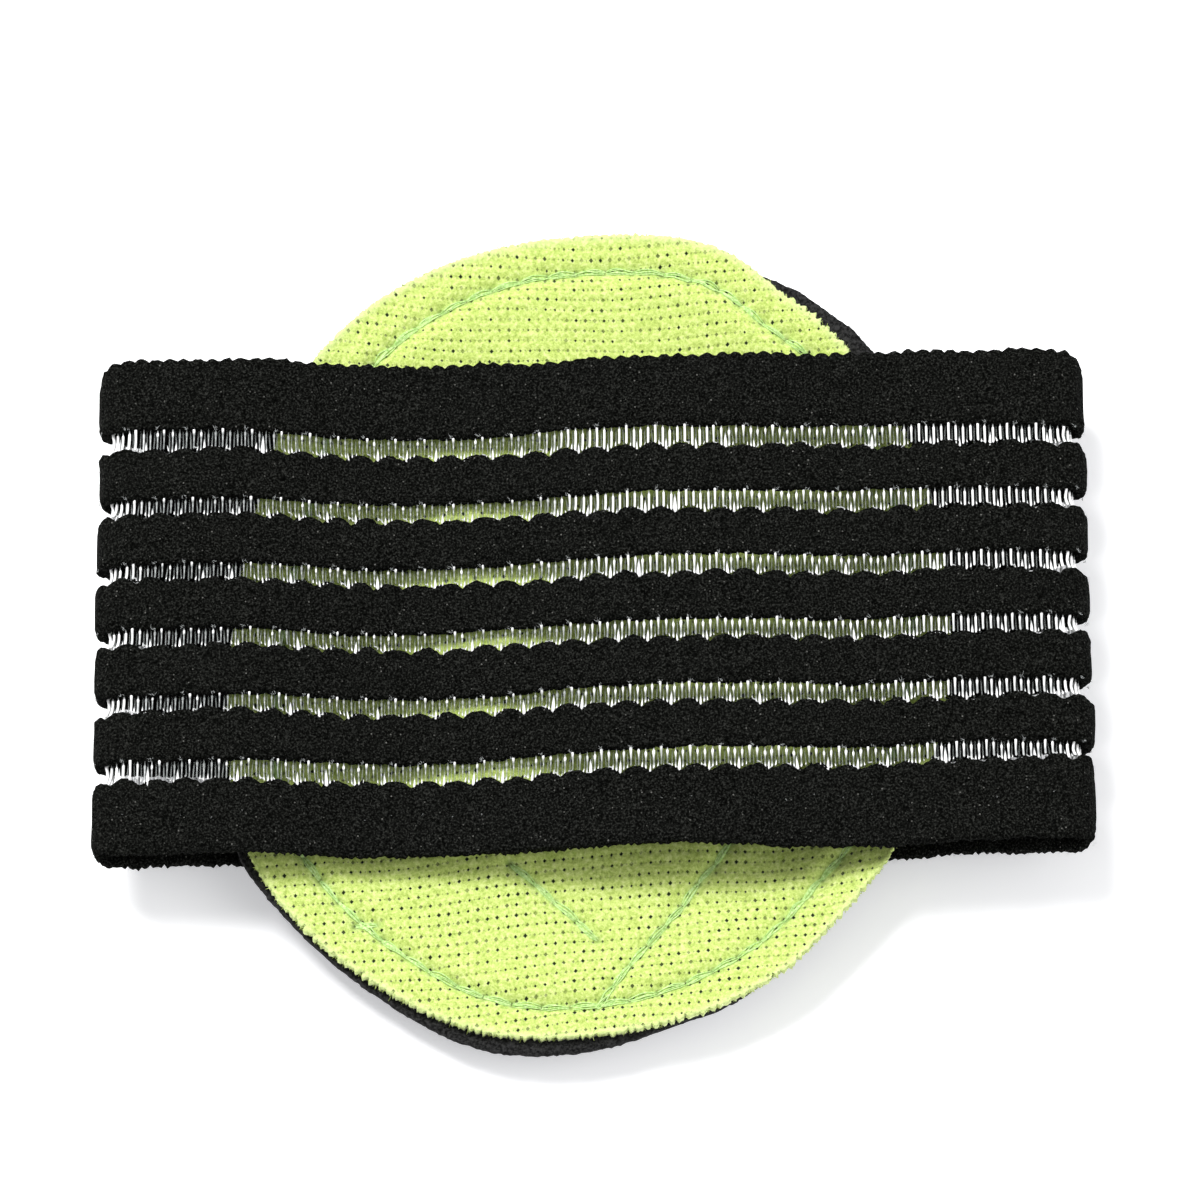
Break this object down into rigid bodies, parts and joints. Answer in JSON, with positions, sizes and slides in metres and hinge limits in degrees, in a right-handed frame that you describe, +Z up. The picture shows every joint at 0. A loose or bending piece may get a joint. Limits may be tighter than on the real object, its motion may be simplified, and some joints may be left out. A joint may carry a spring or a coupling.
{
  "type": "arch support sleeve",
  "caption": "Elastic foot sleeve lying flat: a loop of black knit ribs and clear strips around a dished oval lime mesh pad.",
  "frame": {"origin": "on the ground, below the middle of the outline seen from above", "axes": "+X along the flattened band, fold to fold; the foot goes in along Y; +Z up from the lower ply to the upper one"},
  "size_m": [0.1002, 0.087, 0.0111],
  "materials": {
    "black_knit": "matte plush knit",
    "sheer_yarn": "clear glossy monofilament",
    "lime_mesh": "brushed mesh knit",
    "black_backing": "matte woven face"
  },
  "bodies": {
    "root": {"back_edge_rib": "black_knit", "rib_1": "black_knit", "rib_2": "black_knit", "rib_3": "black_knit", "rib_4": "black_knit", "rib_5": "black_knit", "front_edge_rib": "black_knit", "sheer_strip_1": "sheer_yarn", "sheer_strip_2": "sheer_yarn", "sheer_strip_3": "sheer_yarn", "sheer_strip_4": "sheer_yarn", "sheer_strip_5": "sheer_yarn", "sheer_strip_6": "sheer_yarn", "pad_cover": "lime_mesh", "pad_backing": "black_backing"}
  },
  "joints": []
}
